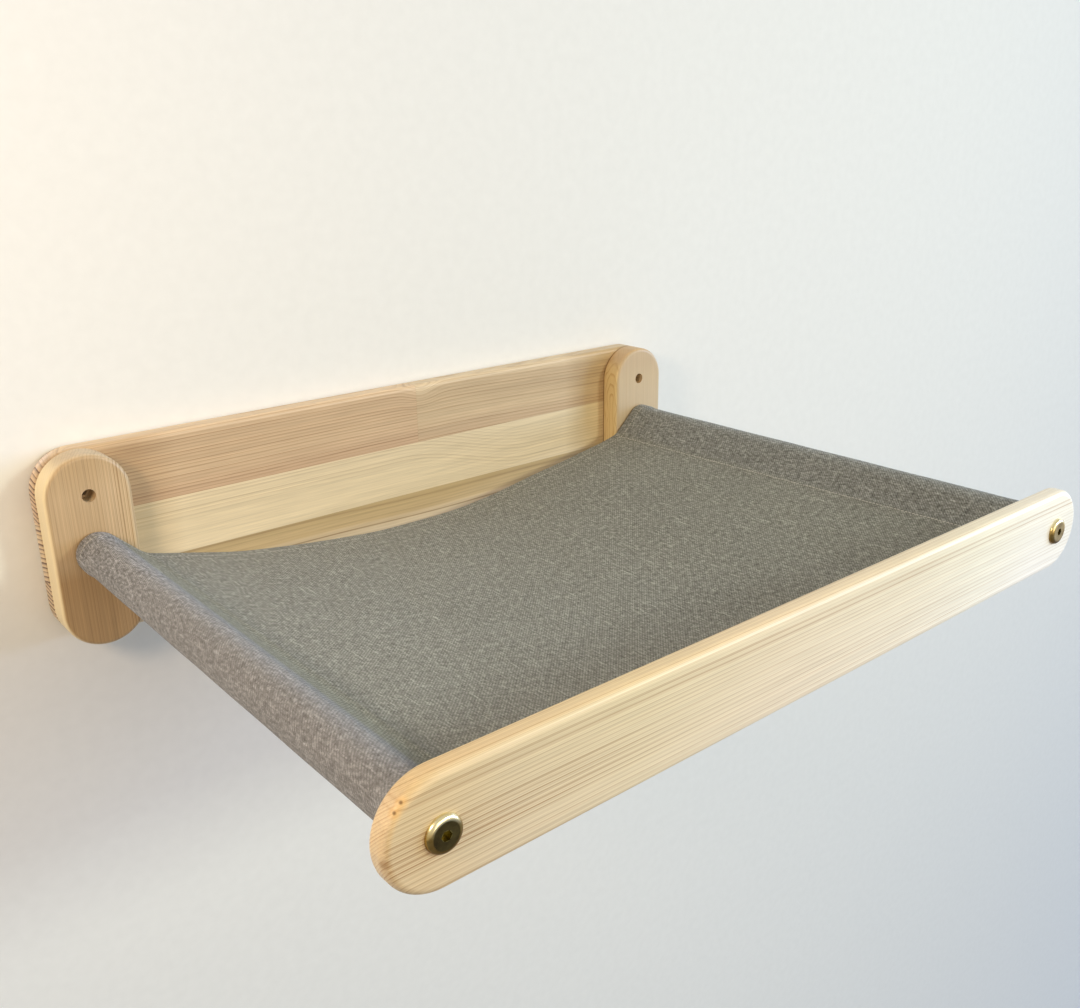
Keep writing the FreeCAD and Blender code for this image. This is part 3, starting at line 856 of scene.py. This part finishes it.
def surface_piece(name, points, faces, finish, uv=None):
    """A smooth mesh object from arrays of points and faces, and at will each point's place on the cloth."""
    mesh = bpy.data.meshes.new(name)
    mesh.from_pydata(points.reshape(-1, 3).tolist(), [], faces.tolist())
    mesh.polygons.foreach_set("use_smooth", np.ones(len(mesh.polygons), bool))
    if uv is not None:
        corners = np.zeros(len(mesh.loops), np.int32)
        mesh.loops.foreach_get("vertex_index", corners)
        layer = mesh.uv_layers.new(name="cloth")
        layer.data.foreach_set("uv", uv.reshape(-1, 2)[corners].astype(np.float32).ravel())
    mesh.update()
    piece = bpy.data.objects.new(name, mesh)
    bpy.context.scene.collection.objects.link(piece)
    piece.data.materials.append(finish.material)
    return piece


# %% [markdown]
# ### The weave
#
# The cloth is a grey twill of mottled yarn. Lengthwise yarns pass over two cross yarns and under two,
# one step further along in each row, which makes fine slanting ribs. Yarns are counted in the cloth's
# own coordinates, so the weave follows the folds round the rods. Each yarn has its own tone, which
# drifts along it, with pale slubs here and there. Light is painted on the sleeves: they are paler where
# they turn over the rods, and the top of the left one has a painted tint. A painted shade lies in a soft
# crease beside the left seam.

# %% Finish of the cloth
YARN = 0.62 * MM
# Painted light on the sleeves, paler where they turn over the rods. Where a tint sets in, measured
# across the cloth from its middle, where it is whole, and the tint.
LEFT_SLEEVE_PAINTED_LIGHT = (0.272, 0.282, (1.11, 1.09, 1.30, 1.0))
RIGHT_SLEEVE_PAINTED_LIGHT = (0.2475, 0.2575, (1.06, 1.08, 1.17, 1.0))
# Painted light: a tint on the top of the left sleeve, beside its seam.
LEFT_SLEEVE_TOP_PAINTED_LIGHT = (1.03, 1.00, 0.90, 1.0)


def twill(name, shadow, middle, light):
    """Two-over-two twill, from the place u across the cloth and the place v down it.

    A cell shows the lengthwise yarn if the sum of its yarn numbers, modulo four, is under two. A large
    multiple of four keeps the sum positive.
    """
    cloth = Finish(name, Roughness=0.92, Sheen_Weight=0.22, Sheen_Roughness=0.5, Specular_IOR_Level=0.15)
    spot = cloth.add("ShaderNodeUVMap", {"uv_map": "cloth"})
    u, v = (cloth.add("ShaderNodeSeparateXYZ", None, {0: spot}, axis) for axis in (0, 1))

    def mottle(across, down, layer):
        return cloth.noise(cloth.vector(u * across, v * down, layer))

    lengthwise, crosswise = u / YARN, v / YARN
    warp_number, weft_number = lengthwise.math("FLOOR"), crosswise.math("FLOOR")
    cycle = ((warp_number + weft_number + 4000) / 4).math("FRACT")
    warp_shows = cycle < 0.49
    warp_tone = cloth.noise(cloth.vector(warp_number * 17.3, v * 150, 0.0))
    weft_tone = cloth.noise(cloth.vector(u * 170, weft_number * 13.7, 9.0))
    slub = cloth.ease(mottle(430, 38, 4.0), 0.56, 0.78)
    slub_across = cloth.ease(mottle(60, 560, 14.0), 0.66, 0.8)
    tone = (warp_tone * 0.7 + 0.205) * warp_shows + (weft_tone * 0.7 + 0.075) * (1 - warp_shows)
    haze = mottle(560, 210, 6.0)
    tone = tone + slub * 0.20 + slub_across * 0.08 - 0.008
    tone = tone + (mottle(9, 9, 2.0) - 0.5) * 0.06 + (haze - 0.5) * 0.80
    tone = tone + (mottle(130, 700, 8.0) - 0.5) * 0.30
    # The left sleeve is more mottled than the panel at the wall, and less so at the front.
    contrast = cloth.ease(-u, 0.258, 0.276) * (0.22 - cloth.ease(v, 0.0, 0.24) * 0.54) + 1.0
    tone = (tone - 0.5) * contrast + 0.5
    colour = cloth.ramp(tone, [(0.20, paint(shadow)), (0.50, paint(middle)), (0.82, paint(light))])

    # Painted light: each sleeve is tinted paler where it turns over its rod.
    for outward, (start, whole, tint) in ((-u, LEFT_SLEEVE_PAINTED_LIGHT), (u, RIGHT_SLEEVE_PAINTED_LIGHT)):
        colour = cloth.tinted(colour, tint, cloth.ease(outward, start, whole))
    # Painted light on the top of the left sleeve.
    left_top_painted_light = cloth.ease(-u, 0.2455, 0.2500) * (1 - cloth.ease(-u, 0.270, 0.282))
    colour = cloth.tinted(colour, LEFT_SLEEVE_TOP_PAINTED_LIGHT, left_top_painted_light)
    # Painted shade in a soft crease beside the left seam, deeper towards the front.
    painted_crease_shade = cloth.ease(-u, 0.230, 0.243) * (1 - cloth.ease(-u, 0.2475, 0.2535)) * cloth.ease(v, 0.10, 0.38)
    cloth.drive(Base_Color=cloth.scaled(colour, 1 - painted_crease_shade * 0.14))

    in_warp, in_weft = lengthwise.math("FRACT"), crosswise.math("FRACT")
    warp_round = in_warp * (1 - in_warp) * 4
    weft_round = in_weft * (1 - in_weft) * 4
    float_height = warp_round * warp_shows + weft_round * (1 - warp_shows)
    near_seam = ((u.math("ABSOLUTE") - 0.2465) / 0.006).peak()
    pucker = (v * (2 * math.pi / 0.0068)).math("SINE") * near_seam
    height = float_height * 0.7 + mottle(2200, 2200, 1.0) * 0.5 + (haze - 0.5) * 0.9 + pucker * 0.55
    cloth.drive(Normal=cloth.bump(height, 0.00028, 0.75))
    return cloth


sling_twill = twill("sling_twill", "535551", "848780", "BFC3BD")
uv = np.stack([across, np.broadcast_to(down[:, None], across.shape)], -1)
sling = surface_piece("sling_cloth", grid, grid_faces(*grid.shape[:2]), sling_twill, uv)
wall_of_cloth = sling.modifiers.new("thickness", "SOLIDIFY")
wall_of_cloth.thickness = CLOTH
wall_of_cloth.offset = 0.0
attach(sling, "sling")
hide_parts("fabric_sling")
print("cloth of", len(sling.data.polygons), "faces")


# %% [markdown]
# ### The sewing
#
# A lockstitch shows as a row of short, slightly bowed threads, each diving into the cloth at both ends.
# One small capsule is shaped once, and then copied along a row as a whole array: every stitch has a
# centre, the row's direction and the direction away from the cloth.

# %% One stitch, and a row of them
STITCH_PITCH = 3.3 * MM
THREAD_RADIUS = 0.32 * MM


def stitch_shape():
    """A bowed capsule of five rings of six points: distance along, distance aside, height."""
    along = np.array([-1.0, -0.72, 0.0, 0.72, 1.0]) * STITCH_PITCH * 0.44
    width = np.array([0.45, 0.95, 1.0, 0.95, 0.45]) * THREAD_RADIUS
    rise = np.array([-0.9, -0.1, 0.35, -0.1, -0.9]) * THREAD_RADIUS
    turn = np.linspace(0, 2 * np.pi, 6, endpoint=False)
    rings = np.stack([
        np.broadcast_to(along[:, None], (5, 6)),
        width[:, None] * np.cos(turn),
        rise[:, None] + width[:, None] * np.sin(turn),
    ], -1)
    tips = np.array([[along[0] * 1.06, 0, rise[0] * 1.1], [along[-1] * 1.06, 0, rise[-1] * 1.1]])
    points = np.concatenate([rings.reshape(-1, 3), tips])
    sides = [(k, (k + 1) % 6, 6 + (k + 1) % 6, 6 + k) for k in range(6)]
    faces = [tuple(ring * 6 + corner for corner in face) for ring in range(4) for face in sides]
    faces += [((k + 1) % 6, k, 30, 30) for k in range(6)]
    faces += [(24 + k, 24 + (k + 1) % 6, 31, 31) for k in range(6)]
    return points, faces


def stitch_row(name, centres, tangents, outward, finish):
    """Copies the stitch to every centre, where its axes are the tangent, the side and the way outward."""
    shape, faces = stitch_shape()
    tangents = tangents / np.linalg.norm(tangents, axis=1, keepdims=True)
    outward = outward - tangents * (outward * tangents).sum(1, keepdims=True)
    outward = outward / np.linalg.norm(outward, axis=1, keepdims=True)
    aside = np.cross(outward, tangents)
    axes = np.stack([tangents, aside, outward], 1)
    points = centres[:, None] + np.einsum("pk,nkc->npc", shape, axes)
    first = (np.arange(len(centres)) * len(shape))[:, None, None]
    mesh = bpy.data.meshes.new(name)
    corners = (np.array(faces)[None] + first).reshape(-1, 4).tolist()
    corners = [face[:3] if face[2] == face[3] else face for face in corners]
    mesh.from_pydata(points.reshape(-1, 3).tolist(), [], corners)
    mesh.polygons.foreach_set("use_smooth", np.ones(len(mesh.polygons), bool))
    mesh.update()
    row = bpy.data.objects.new(name, mesh)
    bpy.context.scene.collection.objects.link(row)
    row.data.materials.append(finish.material)
    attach(row, "sling")
    return row


# %% Finish of the thread
thread = Finish("sewing_thread", Roughness=0.6, Sheen_Weight=0.2)
x, y, z = thread.place()
ply = thread.noise(thread.vector(x * 2600, y * 1300, z * 2600))
thread.drive(Base_Color=thread.ramp(ply, [(0.35, paint("B6B6B0")), (0.65, paint("DCDCD6"))]))
thread.drive(Normal=thread.bump(ply, 0.0001, 0.6))
print("thread is spun")


# %% [markdown]
# Two rows hold the sleeves, one beside each seam, and show on the panel and again on the allowance
# below. Two more run across the whole cloth and hold the hems. The places come from the same formulas
# as the cloth, so the threads lie on it wherever it dips.

# %% Sew the seams and the hems
def seam_rows(side, inset):
    """Centres, tangents and upward directions of a row on the panel, a fixed distance inside a seam."""
    y = np.arange(BACK_EDGE - 4 * MM, FRONT_EDGE + 4 * MM, -STITCH_PITCH)
    whole = PANEL_ARC + 2 * SEAM - seam_distance(-1, y) - seam_distance(1, y)
    share = inset / whole if side < 0 else 1 - inset / whole

    def at(share, y):
        x, z = panel_point(share, y)
        return np.stack([x, y, z], -1)

    centres = at(share, y)
    tangents = at(share, y - 0.5 * MM) - centres
    sideways = at(share + 0.002, y) - centres
    outward = np.cross(tangents, sideways)
    return centres, tangents, outward


def hem_row(y, first, last):
    """Centres, tangents and outward directions of a row across the cloth, between two lengths."""
    points, length = cloth_section(np.array([y]))
    normal = section_normals(points)[0]
    at = np.arange(first, last, STITCH_PITCH)
    x, z = np.interp(at, length[0], points[0, :, 0]), np.interp(at, length[0], points[0, :, 1])
    nx, nz = np.interp(at, length[0], normal[:, 0]), np.interp(at, length[0], normal[:, 1])
    centres = np.stack([x, y + 0 * x, z], -1)
    outward = np.stack([nx, 0 * nx, nz], -1)
    return centres, np.gradient(centres, axis=0), outward


# The rows' distances from the seam and from the cloth's end. On top, a hem's row runs on past the panel
# over the sleeves, and underneath it stops short of the allowances.
SEAM_INSET = 3.2 * MM
HEM_INSET = HEM - 2.5 * MM
PAST_SEAM = 112 * MM
SHORT_OF_SEAM = 16 * MM
SKIN = CLOTH / 2 + THREAD_RADIUS * 0.35
SUNK = {"left": 0.38 * MM, "right": -0.04 * MM, "back": 0.28 * MM, "front": 0.10 * MM}
for side, end in ((-1, "left"), (1, "right")):
    centres, tangents, outward = seam_rows(side, SEAM_INSET)
    outward = outward / np.linalg.norm(outward, axis=1, keepdims=True)
    above = centres + outward * (SKIN - SUNK[end])
    below = centres - outward * (LAYER * (1 + near_hem(centres[:, 1]))[:, None] + SKIN)
    stitch_row(end + "_seam_stitches", above, tangents, outward, thread)
    stitch_row(end + "_seam_stitches_under", below, tangents, -outward, thread)
for y, end in ((BACK_EDGE - HEM_INSET, "back"), (FRONT_EDGE + HEM_INSET, "front")):
    centres, tangents, outward = hem_row(y, -PANEL_ARC / 2 - PAST_SEAM, PANEL_ARC / 2 + PAST_SEAM)
    above = centres + outward * (SKIN - SUNK[end])
    stitch_row(end + "_hem_stitches", above, tangents, outward, thread)
    centres, tangents, outward = hem_row(y, -PANEL_ARC / 2 + SHORT_OF_SEAM, PANEL_ARC / 2 - SHORT_OF_SEAM)
    below = centres - outward * (LAYER + SKIN)
    stitch_row(end + "_hem_stitches_under", below, tangents, -outward, thread)
